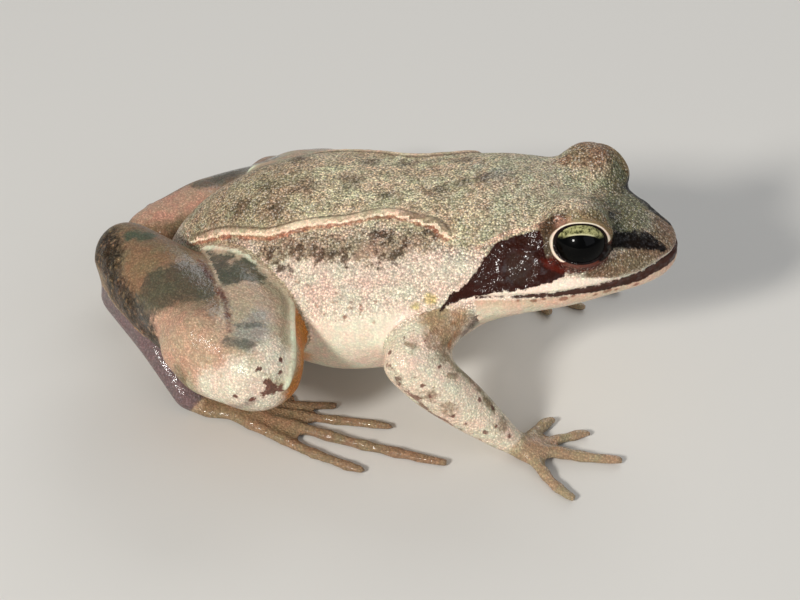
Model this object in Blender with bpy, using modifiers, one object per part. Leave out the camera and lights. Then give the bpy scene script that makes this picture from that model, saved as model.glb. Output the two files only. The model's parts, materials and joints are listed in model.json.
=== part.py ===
# A life-size still model of a common frog, sitting with its chest raised on its arms and its hind
# legs folded. Sizes are millimetres on the animal, and MM turns them into metres. The frog faces +X,
# its left side is +Y and the floor under its hands and feet is z = 0. Each piece is a closed solid,
# parted from its neighbours by a thin cut.

import math

import bmesh
import bpy
import numpy as np

MM = 0.001
GAP = 0.3            # clearance between neighbouring pieces
SIDES = ("left", "right")

# Body sections from the vent to the snout. Each gives its place along X, the height of the back on
# the midline, the dorsolateral fold (on the head, the ridge from the brow to the nostril), the
# widest line (on the head, the lip), the lower corner, and the height of the belly on the midline.
BODY_SECTIONS = [
    # place        x      back   fold y, z      side y, z      low y, z      belly
    ("vent",      (-2.6, 12.4, (1.0, 12.1), (1.6, 11.3), (1.0, 10.6), 10.3)),
    ("tail bone", (-0.6, 16.0, (3.0, 14.9), (4.2, 11.5), (3.0, 8.6), 7.8)),
    ("rump",      (4.0, 20.9, (4.8, 18.9), (7.4, 11.6), (5.8, 6.4), 5.2)),
    ("hump",      (12.5, 25.2, (7.2, 22.9), (12.2, 12.4), (9.6, 6.2), 4.8)),
    ("loin",      (21.0, 25.7, (8.0, 23.9), (16.2, 13.0), (12.6, 6.6), 5.0)),
    ("ribs",      (28.5, 26.2, (8.0, 24.6), (15.8, 14.0), (12.2, 8.0), 6.6)),
    ("shoulders", (34.5, 27.4, (8.2, 25.6), (13.4, 15.8), (10.8, 10.8), 9.4)),
    ("jaw angle", (38.5, 28.2, (8.0, 26.2), (12.4, 17.2), (10.2, 14.3), 12.8)),
    ("ears",      (42.5, 28.4, (7.4, 26.4), (11.9, 18.1), (9.8, 15.9), 14.9)),
    ("eyes",      (48.0, 27.0, (5.8, 25.8), (10.3, 18.8), (8.4, 17.0), 16.1)),
    ("brow end",  (52.4, 25.8, (4.7, 24.9), (8.0, 19.3), (6.3, 17.9), 17.2)),
    ("nostrils",  (56.0, 23.9, (3.7, 23.1), (5.8, 19.8), (4.3, 18.5), 18.0)),
    ("snout",     (58.2, 22.3, (2.3, 21.8), (3.4, 20.2), (2.3, 19.1), 18.8)),
    ("tip",       (59.0, 21.6, (0.9, 21.3), (1.2, 20.5), (0.8, 19.8), 19.6)),
]
AROUND_BODY = 4      # faces between two feature lines of a body section
TRUNK_RINGS = 2      # rings from one body section to the next, in the trunk and in the head
HEAD_RINGS = 3

# Places on the head are given for its left side.
EYE = {"centre": (48.0, 6.8, 25.5), "radius": 3.4}
LID = {"centre": (47.5, 5.8, 25.3), "radii": (4.3, 4.3, 4.4)}
EYE_OPENING = {"half_length": 3.05, "half_height": 2.25, "depth": 9.0, "tilt_up": 24.0, "turn_ahead": 12.0}
EAR = {"centre": (42.3, 10.35, 22.6), "radius": 2.2, "half_thickness": 0.55, "tilt_up": 26.0}
NECK_CUT = {"at": (37.2, 0.0, 20.0), "lean": 10.0}
MOUTH_CUT = {"at": (58.8, 0.0, 20.5), "slope": 6.6}

# Joint centres of each limb in this pose.
ARMS = {
    "right": {"shoulder": (34.5, -9.5, 16.0), "elbow": (31.0, -17.6, 13.0), "wrist": (42.2, -15.6, 2.4),
              "hand_turn": 0.0},
    "left": {"shoulder": (34.0, 9.5, 15.6), "elbow": (28.0, 17.2, 11.6), "wrist": (37.2, 18.6, 2.4),
             "hand_turn": 10.0},
}
LEGS = {
    "right": {"hip": (6.8, -5.0, 13.6), "knee": (14.8, -23.2, 13.4), "heel": (-5.6, -6.2, 14.2),
              "hock": (-5.9, -9.2, 10.9), "ankle": (4.2, -15.4, 2.0), "foot_turn": -1.0},
    "left": {"hip": (6.0, 5.0, 13.6), "knee": (11.4, 23.4, 8.4), "heel": (-7.2, 8.0, 7.0),
             "hock": (-8.0, 10.6, 5.0), "ankle": (4.0, 15.0, 2.0), "foot_turn": 10.0},
}

# Girth along each limb: share of its length, half width, half height.
UPPER_ARM_GIRTH = [(0.0, 3.6, 3.9), (0.5, 3.2, 3.4), (1.0, 3.0, 3.1)]
FOREARM_GIRTH = [(0.0, 3.0, 3.1), (0.25, 3.3, 3.4), (0.6, 2.8, 2.9), (1.0, 1.9, 1.8)]
THIGH_GIRTH = [(0.0, 4.4, 4.8), (0.35, 6.1, 6.1), (0.7, 6.7, 6.0), (1.0, 5.6, 4.9)]
SHANK_GIRTH = [(0.0, 4.0, 4.2), (0.35, 5.4, 5.6), (0.7, 5.8, 5.9), (1.0, 4.2, 4.6)]
TARSUS_GIRTH = [(0.0, 2.4, 2.6), (0.5, 1.9, 2.0), (1.0, 2.0, 1.8)]
ARM_SIDES, LEG_SIDES, ANKLE_SIDES, DIGIT_SIDES = 11, 13, 10, 8

# Digits from the inner to the outer: turn from straight ahead, length, root half width.
FINGERS = [(78.0, 7.1, 1.05), (42.0, 8.3, 0.9), (6.0, 10.9, 0.95), (-48.0, 9.5, 0.9)]
TOES = [(30.0, 9.5, 0.8), (17.0, 14.5, 0.85), (5.0, 21.0, 0.9), (-7.0, 29.0, 0.95), (-20.0, 21.0, 0.9)]
DIGIT_TIP = 0.72     # half width of a digit's tip, as a share of its root
DIGIT_CURVE = 0.3    # how far a digit turns back towards straight ahead, as a share of its turn
WEB_REACH = 0.62     # how far the web runs along the shorter toe
WEB_THICKNESS = 0.8
SOLE_DEPTH = 0.2     # depth of digit and sole that the floor trims to a flat
FINE_VOXEL, HEAD_VOXEL = 0.3, 0.4
HAND_TRIANGLES, FOOT_TRIANGLES, HEAD_TRIANGLES = 300, 400, 2200

# Colour, roughness and metallic value of each sub-part.
FINISHES = {
    "head": ("head skin", (0.30, 0.21, 0.14), 0.40, 0.0),
    "lower_jaw": ("jaw skin", (0.62, 0.47, 0.38), 0.40, 0.0),
    "ear": ("eardrum", (0.13, 0.05, 0.04), 0.35, 0.0),
    "eye": ("cornea over a dark iris", (0.02, 0.015, 0.01), 0.08, 0.0),
    "trunk": ("trunk skin", (0.40, 0.30, 0.21), 0.40, 0.0),
    "upper_arm": ("upper arm skin", (0.42, 0.31, 0.24), 0.40, 0.0),
    "forearm": ("forearm skin", (0.48, 0.37, 0.29), 0.40, 0.0),
    "hand": ("finger skin", (0.38, 0.22, 0.15), 0.45, 0.0),
    "thigh": ("thigh skin", (0.24, 0.20, 0.14), 0.40, 0.0),
    "shank": ("shank skin", (0.33, 0.23, 0.15), 0.40, 0.0),
    "tarsus": ("ankle skin", (0.27, 0.20, 0.18), 0.40, 0.0),
    "foot": ("toe and web skin", (0.34, 0.24, 0.17), 0.45, 0.0),
}


# ---- helpers ----

def new_collection(name):
    collection = bpy.data.collections.new(name)
    bpy.context.scene.collection.children.link(collection)
    return collection


def link_mesh(name, bm, collection):
    bmesh.ops.recalc_face_normals(bm, faces=bm.faces)
    mesh = bpy.data.meshes.new(name)
    bm.to_mesh(mesh)
    bm.free()
    mesh.shade_smooth()
    obj = bpy.data.objects.new(name, mesh)
    collection.objects.link(obj)
    return obj


def copy_of(obj, name, collection):
    twin = bpy.data.objects.new(name, obj.data.copy())
    twin.data.name = name
    collection.objects.link(twin)
    return twin


def drop(objects):
    for obj in list(objects):
        bpy.data.objects.remove(obj)


def place_primitive(name, collection, centre, scale, turn):
    # The primitive just added is set in the given collection, with its place in its mesh.
    obj = bpy.context.object
    obj.name = obj.data.name = name
    for owner in obj.users_collection:
        owner.objects.unlink(obj)
    collection.objects.link(obj)
    obj.scale = [s * MM for s in scale]
    obj.rotation_euler = [math.radians(angle) for angle in turn]
    obj.location = [c * MM for c in centre]
    bpy.context.view_layer.update()
    obj.data.transform(obj.matrix_world)
    obj.location, obj.rotation_euler, obj.scale = (0, 0, 0), (0, 0, 0), (1, 1, 1)
    return obj


def ellipsoid(name, centre, radii, collection, turn=(0, 0, 0), segments=16, rings=8):
    bpy.ops.mesh.primitive_uv_sphere_add(segments=segments, ring_count=rings, radius=1.0)
    obj = place_primitive(name, collection, centre, radii, turn)
    obj.data.shade_smooth()
    return obj


def half_space(name, point, normal_turn, ahead, collection):
    # A large cube on one side of a plane through the point. The plane faces +X, turned about Y,
    # and the cube reaches half a gap past it, so that two cuts from both sides leave a whole gap.
    reach = 80.0
    angle = math.radians(normal_turn)
    normal = np.array([math.cos(angle), 0.0, -math.sin(angle)]) * (1 if ahead else -1)
    centre = np.array(point) + normal * (reach - GAP) / 2
    bpy.ops.mesh.primitive_cube_add(size=1.0)
    return place_primitive(name, collection, centre, [reach] * 3, (0, normal_turn, 0))


def apply_modifiers(obj):
    bpy.context.view_layer.update()
    mesh = bpy.data.meshes.new_from_object(obj.evaluated_get(bpy.context.evaluated_depsgraph_get()))
    obj.modifiers.clear()
    obj.data = mesh


def cut(obj, tools):
    # Takes the tools' volume out of the object, and keeps only its largest connected body.
    for tool in tools:
        boolean = obj.modifiers.new("Cut", "BOOLEAN")
        boolean.operation, boolean.solver, boolean.object = "DIFFERENCE", "EXACT", tool
    apply_modifiers(obj)
    bm = bmesh.new()
    bm.from_mesh(obj.data)
    left, bodies = set(bm.verts), []
    while left:
        body, edge = set(), [left.pop()]
        while edge:
            vert = edge.pop()
            body.add(vert)
            joined = [link.other_vert(vert) for link in vert.link_edges]
            edge += [other for other in joined if other in left]
            left.difference_update(joined)
        bodies.append(body)
    bodies.sort(key=len)
    for crumb in bodies[:-1]:
        bmesh.ops.delete(bm, geom=list(crumb), context="VERTS")
    bm.to_mesh(obj.data)
    bm.free()


def melt_together(obj, others, voxel, smoothing, triangles):
    # Joins the other pieces to this one as one soft closed form of about so many triangles.
    bm = bmesh.new()
    for piece in [obj, *others]:
        bm.from_mesh(piece.data)
    bm.to_mesh(obj.data)
    bm.free()
    drop(others)
    remesh = obj.modifiers.new("Remesh", "REMESH")
    remesh.mode, remesh.voxel_size = "VOXEL", voxel * MM
    smooth = obj.modifiers.new("Smooth", "SMOOTH")
    smooth.factor, smooth.iterations = 0.5, smoothing
    apply_modifiers(obj)
    count = sum(len(face.vertices) - 2 for face in obj.data.polygons)
    obj.modifiers.new("Decimate", "DECIMATE").ratio = triangles / count
    apply_modifiers(obj)
    obj.data.shade_smooth()


# ---- curves and lofts ----

def through(points, per_span, closed=False):
    # Points on a smooth curve through the given ones, with per_span steps between two of them.
    pts = np.array(points, float)
    if closed:
        before, after = np.roll(pts, 1, 0), np.roll(pts, -1, 0)
    else:
        before = np.vstack([2 * pts[0] - pts[1], pts[:-1]])
        after = np.vstack([pts[1:], 2 * pts[-1] - pts[-2]])
    span_in = np.linalg.norm(pts - before, axis=1)[:, None]
    span_out = np.linalg.norm(after - pts, axis=1)[:, None]
    slope = (pts - before) / span_in * span_out + (after - pts) / span_out * span_in
    slope /= span_in + span_out
    curve = []
    for i in range(len(pts) if closed else len(pts) - 1):
        j = (i + 1) % len(pts)
        for t in np.arange(per_span) / per_span:
            ease = 3 * t**2 - 2 * t**3
            leave, arrive = t**3 - 2 * t**2 + t, t**3 - t**2
            curve.append((1 - ease) * pts[i] + ease * pts[j]
                         + (leave * slope[i] + arrive * slope[j]) * span_out[i])
    if not closed:
        curve.append(pts[-1])
    return np.array(curve)


def loft(name, rings, collection):
    # A closed skin over rings of points, with each end drawn to a point at its ring's middle.
    bm = bmesh.new()
    loops = [[bm.verts.new(tuple(point * MM)) for point in ring] for ring in rings]
    around = len(loops[0])
    for a, b in zip(loops, loops[1:]):
        for i in range(around):
            j = (i + 1) % around
            bm.faces.new((a[i], a[j], b[j], b[i]))
    for ring, loop in ((rings[0], loops[0][::-1]), (rings[-1], loops[-1])):
        middle = bm.verts.new(tuple(np.mean(ring, axis=0) * MM))
        for i in range(around):
            bm.faces.new((loop[i], loop[(i + 1) % around], middle))
    return link_mesh(name, bm, collection)


def body_rings(per_section):
    # Feature lines run smoothly from section to section, and a ring is drawn through them.
    rows = [[x, back, *fold, *side, *low, belly] for _, (x, back, fold, side, low, belly) in BODY_SECTIONS]
    rings = []
    for x, back, fold_y, fold_z, side_y, side_z, low_y, low_z, belly in through(rows, per_section):
        half = [(fold_y, fold_z), (side_y, side_z), (low_y, low_z)]
        outline = [(0.0, back), *half, (0.0, belly), *[(-y, z) for y, z in reversed(half)]]
        ring = through(outline, AROUND_BODY, closed=True)
        rings.append(np.column_stack([np.full(len(ring), x), ring]))
    return rings


def limb(name, joints, girth, collection, grow=0.0, around=ARM_SIDES, rings=8, cap=3):
    # A tapering limb along a smooth line through its joints, with rounded ends.
    line = through(joints, 6)
    run = np.concatenate([[0], np.cumsum(np.linalg.norm(np.diff(line, axis=0), axis=1))])
    shares = run / run[-1]

    def place(share):
        return np.array([np.interp(share, shares, line[:, k]) for k in range(3)])

    bulges = [math.pi / 2 * k / cap for k in range(1, cap)]
    stations = [(0.0, -bulge) for bulge in reversed(bulges)]
    stations += [(share, 0.0) for share in np.linspace(0, 1, rings)]
    stations += [(1.0, bulge) for bulge in bulges]
    angles = np.arange(around) * 2 * math.pi / around
    made = []
    for share, bulge in stations:
        width, height = [np.interp(share, [row[0] for row in girth], [row[k] for row in girth]) + grow
                         for k in (1, 2)]
        forward = place(min(share + 0.04, 1.0)) - place(max(share - 0.04, 0.0))
        forward /= np.linalg.norm(forward)
        across = np.cross((0, 0, 1), forward)
        across /= np.linalg.norm(across)
        above = np.cross(forward, across)
        middle = place(share) + forward * math.sin(bulge) * min(width, height)
        made.append([middle + (across * width * math.cos(a) + above * height * math.sin(a)) * math.cos(bulge)
                     for a in angles])
    return loft(name, np.array(made), collection)


# ---- hands and feet ----

def digit(name, root, ahead, turn, length, half_width, collection):
    # A finger or toe lying on the floor, arched at its root, curving back towards straight ahead.
    point, joints = np.array(root[:2]), []
    tip = half_width * DIGIT_TIP
    heights = [half_width * 1.3, half_width * 1.25, half_width * 0.75, tip, tip]
    steps = [0.0, 0.3, 0.3, 0.25, 0.15]
    for number, (height, step) in enumerate(zip(heights, steps)):
        angle = math.radians(ahead + turn * (1 - DIGIT_CURVE * (number - 2) / 2))
        point = point + np.array([math.cos(angle), math.sin(angle)]) * length * step
        joints.append((*point, height - SOLE_DEPTH))
    girth = [(0.0, half_width * 1.1, half_width), (0.6, half_width * 0.75, half_width * 0.75),
             (0.9, tip * 1.15, tip), (1.0, tip, tip * 0.9)]
    return limb(name, joints, girth, collection, around=DIGIT_SIDES, cap=2)


def web(name, root, ahead, first, second, collection):
    # A thin fan between two toes, its free edge drawn in towards the root.
    def spoke(toe, share):
        angle = math.radians(ahead + toe[0])
        reach = min(first[1], second[1]) * 1.1 * share
        return np.array([math.cos(angle), math.sin(angle)]) * reach

    notch = (spoke(first, WEB_REACH * 0.72) + spoke(second, WEB_REACH * 0.72)) / 2
    fan = [(0, 0), spoke(first, WEB_REACH / 2), spoke(first, WEB_REACH), notch,
           spoke(second, WEB_REACH), spoke(second, WEB_REACH / 2)]
    bm = bmesh.new()
    base = [bm.verts.new(((root[0] + x) * MM, (root[1] + y) * MM, 0.0)) for x, y in fan]
    lifted = bmesh.ops.extrude_face_region(bm, geom=[bm.faces.new(base)])["geom"]
    top = [item for item in lifted if isinstance(item, bmesh.types.BMVert)]
    bmesh.ops.translate(bm, verts=top, vec=(0, 0, WEB_THICKNESS * MM))
    return link_mesh(name, bm, collection)


def make_hand(side, arm, parts, tools):
    inward = 1 if side == "right" else -1
    wrist = np.array(arm["wrist"])
    palm = wrist + (2.6, 0.0, -1.1 - SOLE_DEPTH)
    hand = limb(f"hand_{side}", [wrist + (0.6, 0.0, -0.4), palm, palm + (1.6, 0.0, -0.1)],
                [(0.0, 1.8, 1.5), (0.5, 2.1, 1.3), (1.0, 1.9, 1.0)], parts, rings=6)
    fingers = [digit(f"finger_{number}", palm, arm["hand_turn"], inward * turn, length, half_width, tools)
               for number, (turn, length, half_width) in enumerate(FINGERS)]
    melt_together(hand, fingers, FINE_VOXEL, 2, HAND_TRIANGLES)
    return hand


def make_foot(side, leg, parts, tools):
    inward = 1 if side == "right" else -1
    ankle = np.array(leg["ankle"])
    ahead = math.radians(leg["foot_turn"])
    forward = np.array([math.cos(ahead), math.sin(ahead), 0.0])
    sole = ankle * (1, 1, 0) + forward * 3.0 + (0.0, 0.0, 1.1 - SOLE_DEPTH)
    foot = limb(f"foot_{side}", [ankle + (0.0, 0.0, -0.6), sole, sole + forward * 1.8],
                [(0.0, 1.8, 1.5), (0.5, 2.2, 1.1), (1.0, 2.0, 0.9)], parts, rings=6)
    toes = [(inward * turn, length, half_width) for turn, length, half_width in TOES]
    pieces = [digit(f"toe_{number}", sole, leg["foot_turn"], *toe, tools) for number, toe in enumerate(toes)]
    pieces += [web(f"web_{number}", sole, leg["foot_turn"], *pair, tools)
               for number, pair in enumerate(zip(toes, toes[1:]))]
    melt_together(foot, pieces, FINE_VOXEL, 2, FOOT_TRIANGLES)
    return foot


# ---- limbs ----

def make_arm(side, parts, tools):
    # Returns the arm's pieces, and its larger ones grown by the gap, for cutting the body clear.
    arm = ARMS[side]
    upper_line, fore_line = [arm["shoulder"], arm["elbow"]], [arm["elbow"], arm["wrist"]]
    upper = limb(f"upper_arm_{side}", upper_line, UPPER_ARM_GIRTH, parts)
    forearm = limb(f"forearm_{side}", fore_line, FOREARM_GIRTH, parts)
    hand = make_hand(side, arm, parts, tools)
    grown_upper = limb("grown_upper_arm", upper_line, UPPER_ARM_GIRTH, tools, grow=GAP)
    grown_forearm = limb("grown_forearm", fore_line, FOREARM_GIRTH, tools, grow=GAP)
    cut(upper, [grown_forearm])
    cut(hand, [grown_forearm])
    return [upper, forearm, hand], [grown_upper, grown_forearm]


def make_leg(side, parts, tools):
    leg = LEGS[side]
    lines = {"thigh": [leg["hip"], leg["knee"]], "shank": [leg["knee"], leg["heel"]],
             "tarsus": [leg["hock"], leg["ankle"]]}
    shapes = {"thigh": (THIGH_GIRTH, LEG_SIDES), "shank": (SHANK_GIRTH, LEG_SIDES),
              "tarsus": (TARSUS_GIRTH, ANKLE_SIDES)}
    solid, grown = {}, {}
    for name, (girth, sides) in shapes.items():
        solid[name] = limb(f"{name}_{side}", lines[name], girth, parts, around=sides)
        grown[name] = limb(f"grown_{name}", lines[name], girth, tools, grow=GAP, around=sides)
    foot = make_foot(side, leg, parts, tools)
    cut(solid["shank"], [grown["thigh"]])
    cut(solid["tarsus"], [grown["shank"], grown["thigh"]])
    cut(foot, [grown["shank"], grown["tarsus"]])
    return [*solid.values(), foot], list(grown.values())


# ---- head and trunk ----

def make_body(parts, tools, grown_limbs):
    trunk = loft("trunk", body_rings(TRUNK_RINGS), parts)
    jaw = loft("lower_jaw", body_rings(HEAD_RINGS), parts)
    head = copy_of(jaw, "head", parts)
    lids = [ellipsoid("lid", on_side(LID["centre"], side), LID["radii"], tools, segments=24, rings=16)
            for side in SIDES]
    melt_together(head, lids, HEAD_VOXEL, 14, HEAD_TRIANGLES)
    neck, lean = NECK_CUT["at"], -NECK_CUT["lean"]
    mouth, up = MOUTH_CUT["at"], -90.0 - MOUTH_CUT["slope"]
    before_neck = half_space("before_neck", neck, lean, True, tools)
    behind_neck = half_space("behind_neck", neck, lean, False, tools)
    over_mouth = half_space("over_mouth", mouth, up, True, tools)
    under_mouth = half_space("under_mouth", mouth, up, False, tools)
    cut(trunk, [before_neck, *grown_limbs])
    cut(head, [behind_neck, under_mouth, *grown_limbs])
    cut(jaw, [behind_neck, over_mouth, *grown_limbs])
    for side in SIDES:
        make_eye_and_ear(head, side, parts, tools)


def on_side(point, side):
    return (point[0], point[1] if side == "left" else -point[1], point[2])


def make_eye_and_ear(head, side, parts, tools):
    # The eyeball and the eardrum are separate, and the head has a socket and a seat for them.
    outward = 1 if side == "left" else -1
    centre, radius = on_side(EYE["centre"], side), EYE["radius"]
    ellipsoid(f"eye_{side}", centre, [radius] * 3, parts, segments=14)
    socket = ellipsoid("socket", centre, [radius + GAP] * 3, tools, segments=14)
    turn = (outward * (EYE_OPENING["tilt_up"] - 90), 0, -outward * EYE_OPENING["turn_ahead"])
    size = [EYE_OPENING[key] for key in ("half_length", "half_height", "depth")]
    opening = ellipsoid("opening", centre, size, tools, turn=turn)
    bpy.ops.mesh.primitive_cube_add(size=1.0)
    inner_at = np.array(centre) - (0.0, outward * 10.0, 0.0)
    inner = place_primitive("inner", tools, inner_at, [20.0] * 3, (0, 0, 0))
    cut(opening, [inner])
    seat, turn = on_side(EAR["centre"], side), (outward * (EAR["tilt_up"] - 90), 0, 0)
    size = np.array([EAR["radius"], EAR["radius"], EAR["half_thickness"]])
    ellipsoid(f"ear_{side}", seat, size, parts, turn=turn, segments=12, rings=6)
    ear_seat = ellipsoid("ear_seat", seat, size + GAP, tools, turn=turn, segments=12, rings=6)
    cut(head, [socket, opening, ear_seat])


# ---- finish ----

def stand_on_floor(parts, tools):
    # The floor trims soles and digits to flats, and the middle of the frog's box goes over x = y = 0.
    floor = half_space("floor", (25.0, 0.0, -GAP / 2), 90.0, True, tools)
    for obj in parts.objects:
        if obj.name.startswith(("hand", "foot")):
            cut(obj, [floor])
    spots = np.array([vert.co for obj in parts.objects for vert in obj.data.vertices])
    middle = (spots.min(axis=0) + spots.max(axis=0)) / 2
    for obj in parts.objects:
        for vert in obj.data.vertices:
            vert.co.x -= middle[0]
            vert.co.y -= middle[1]


def give_finishes(parts):
    for obj in parts.objects:
        name, colour, roughness, metallic = FINISHES[obj.name.removesuffix("_left").removesuffix("_right")]
        material = bpy.data.materials.get(name) or bpy.data.materials.new(name)
        material.use_nodes = True
        shader = material.node_tree.nodes["Principled BSDF"]
        shader.inputs["Base Color"].default_value = (*colour, 1.0)
        shader.inputs["Roughness"].default_value = roughness
        shader.inputs["Metallic"].default_value = metallic
        obj.data.materials.clear()
        obj.data.materials.append(material)


def main():
    for thing in list(bpy.data.objects):
        bpy.data.objects.remove(thing)
    parts = new_collection("common_frog")
    tools = new_collection("cutters")
    tools.hide_render = True
    grown = []
    for side in SIDES:
        for make in (make_arm, make_leg):
            grown += make(side, parts, tools)[1]
    make_body(parts, tools, grown)
    stand_on_floor(parts, tools)
    drop(tools.objects)
    bpy.data.collections.remove(tools)
    give_finishes(parts)


main()
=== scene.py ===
import json
import math
import bpy
import numpy as np
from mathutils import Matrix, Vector
from mathutils.bvhtree import BVHTree

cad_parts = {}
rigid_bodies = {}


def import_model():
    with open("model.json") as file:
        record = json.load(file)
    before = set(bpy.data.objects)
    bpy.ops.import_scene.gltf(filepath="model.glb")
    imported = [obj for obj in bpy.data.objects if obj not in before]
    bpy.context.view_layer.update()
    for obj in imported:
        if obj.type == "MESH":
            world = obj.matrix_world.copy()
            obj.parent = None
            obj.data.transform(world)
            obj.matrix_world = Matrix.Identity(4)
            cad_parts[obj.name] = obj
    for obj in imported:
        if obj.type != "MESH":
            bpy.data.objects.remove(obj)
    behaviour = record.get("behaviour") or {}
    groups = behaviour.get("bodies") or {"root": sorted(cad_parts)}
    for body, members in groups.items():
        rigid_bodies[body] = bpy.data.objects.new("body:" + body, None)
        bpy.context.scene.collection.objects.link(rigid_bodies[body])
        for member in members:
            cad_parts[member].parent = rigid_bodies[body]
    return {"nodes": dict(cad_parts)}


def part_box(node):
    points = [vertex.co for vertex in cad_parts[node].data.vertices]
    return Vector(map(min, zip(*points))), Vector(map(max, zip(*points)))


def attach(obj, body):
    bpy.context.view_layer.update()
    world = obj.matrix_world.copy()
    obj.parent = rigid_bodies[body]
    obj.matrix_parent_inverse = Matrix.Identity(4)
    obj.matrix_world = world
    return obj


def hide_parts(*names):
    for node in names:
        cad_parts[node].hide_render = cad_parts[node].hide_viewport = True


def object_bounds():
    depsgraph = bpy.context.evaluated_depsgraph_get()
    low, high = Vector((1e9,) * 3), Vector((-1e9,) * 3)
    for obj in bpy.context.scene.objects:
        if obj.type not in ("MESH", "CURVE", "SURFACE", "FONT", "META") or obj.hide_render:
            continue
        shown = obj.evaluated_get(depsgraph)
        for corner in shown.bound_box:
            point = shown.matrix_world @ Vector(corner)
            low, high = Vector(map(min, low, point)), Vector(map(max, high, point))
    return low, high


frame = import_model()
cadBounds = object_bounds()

# A common frog, life size. Places are in mm in the model's own frame: the snout points to +X, the
# frog's left is +Y and the floor is z = 0. Both sides are shaped and painted from one list, whose
# places have y as the distance from the midline.

mm = 0.001
sides = {"left": 1, "right": -1}


def hexColour(text):  # sRGB hex to linear
    parts = [int(text[i:i + 2], 16) / 255 for i in (1, 3, 5)]
    return (*[c / 12.92 if c <= 0.04045 else ((c + 0.055) / 1.055) ** 2.4 for c in parts], 1.0)


def middle(node):  # middle of a node's box
    low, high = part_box(node)
    return np.array((low + high) / 2) / mm


def onlySelect(obj):
    bpy.ops.object.select_all(action="DESELECT")
    obj.select_set(True)
    bpy.context.view_layer.objects.active = obj


def selectParts(obj, points=False, faces=False):  # chooses points or faces for an edit
    onlySelect(obj)
    mesh = obj.data
    for parts, chosen in ((mesh.vertices, points), (mesh.edges, False), (mesh.polygons, faces)):
        parts.foreach_set("select", np.zeros(len(parts), dtype=bool) | chosen)


def applyModifier(obj, kind, **settings):
    onlySelect(obj)
    modifier = obj.modifiers.new(kind.title(), kind)
    for key, value in settings.items():
        setattr(modifier, key, value)
    bpy.ops.object.modifier_apply(modifier=modifier.name)


def readPoints(obj):
    flat = np.empty(len(obj.data.vertices) * 3)
    obj.data.vertices.foreach_get("co", flat)
    return flat.reshape(-1, 3) / mm


def readNormals(obj):
    flat = np.empty(len(obj.data.vertices) * 3)
    obj.data.vertex_normals.foreach_get("vector", flat)
    return flat.reshape(-1, 3)


def writePoints(obj, points):
    obj.data.vertices.foreach_set("co", (points * mm).ravel())
    obj.data.update()


def writeField(obj, name, values, kind="FLOAT", key="value"):
    field = obj.data.attributes.new(name, kind, "POINT")
    field.data.foreach_set(key, np.ascontiguousarray(values, dtype=np.float32).ravel())


def spread(obj, values, rounds, share=0.5):  # each round moves a value towards its neighbours' mean
    ends = np.empty(len(obj.data.edges) * 2, dtype=np.int32)
    obj.data.edges.foreach_get("vertices", ends)
    a, b = ends.reshape(-1, 2).T
    total = len(obj.data.vertices)
    around = np.maximum(np.bincount(a, minlength=total) + np.bincount(b, minlength=total), 1)
    columns = [np.array(column) for column in np.atleast_2d(np.asarray(values, dtype=float).T)]
    for _ in range(rounds):
        for i, column in enumerate(columns):
            near = np.bincount(a, column[b], total) + np.bincount(b, column[a], total)
            columns[i] = column + share * (near / around - column)
    return np.stack(columns, axis=1) if np.ndim(values) > 1 else columns[0]


def ease(values, start, end):  # 0 before start, 1 after end, smooth between
    t = np.clip((values - start) / (end - start), 0.0, 1.0)
    return t * t * (3 - 2 * t)


def hump(distance, width):  # 1 on the line, falling off on both sides
    return np.exp(-(distance / width) ** 2)


def curveThrough(places, steps=4, closed=False):  # smooth curve through a few places
    p = np.array(places, dtype=float)
    p = np.vstack([p[-1:], p, p[:2]]) if closed else np.vstack([2 * p[0] - p[1], p, 2 * p[-1] - p[-2]])
    t = np.arange(steps)[:, None] / steps
    out = []
    for a, b, c, d in zip(p, p[1:], p[2:], p[3:]):
        out.append(0.5 * (2 * b + (c - a) * t + (2 * a - 5 * b + 4 * c - d) * t ** 2
                          + (3 * b - a - 3 * c + d) * t ** 3))
    return np.vstack(out + ([] if closed else [p[-2:-1]]))


def distanceToLine(points, line):  # to the nearest stretch of a line
    best = np.full(len(points), 1e9)
    for start, end in zip(line, line[1:]):
        way = end - start
        t = np.clip((points - start) @ way / max(way @ way, 1e-12), 0.0, 1.0)
        best = np.minimum(best, np.linalg.norm(points - start - t[:, None] * way, axis=1))
    return best


def distanceToCurve(points, places):
    return distanceToLine(points, curveThrough(places))


def distanceToBlobs(points, blobs):  # to the nearest of some balls, less than 0 inside
    best = np.full(len(points), 1e9)
    for x, y, z, radius in blobs:
        best = np.minimum(best, np.linalg.norm(points - (x, y, z), axis=1) - radius)
    return best


def distanceToOutline(points, outline):  # to a closed outline seen from the side, less than 0 inside
    line = curveThrough(outline, closed=True)
    line = np.vstack([line, line[:1]])
    flat = points[:, [0, 2]]
    inside = np.zeros(len(flat), dtype=bool)
    for (x0, z0), (x1, z1) in zip(line, line[1:]):
        if z0 != z1:
            crosses = (flat[:, 1] < z0) != (flat[:, 1] < z1)
            inside ^= crosses & (flat[:, 0] < x0 + (flat[:, 1] - z0) * (x1 - x0) / (z1 - z0))
    return distanceToLine(flat, line) * np.where(inside, -1, 1)


def heightAt(x, table):  # reads (x, height) pairs
    places, heights = np.array(table).T
    return np.interp(x, places, heights)


# Eyes and joints: the places that the skin and its markings are measured from.

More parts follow.
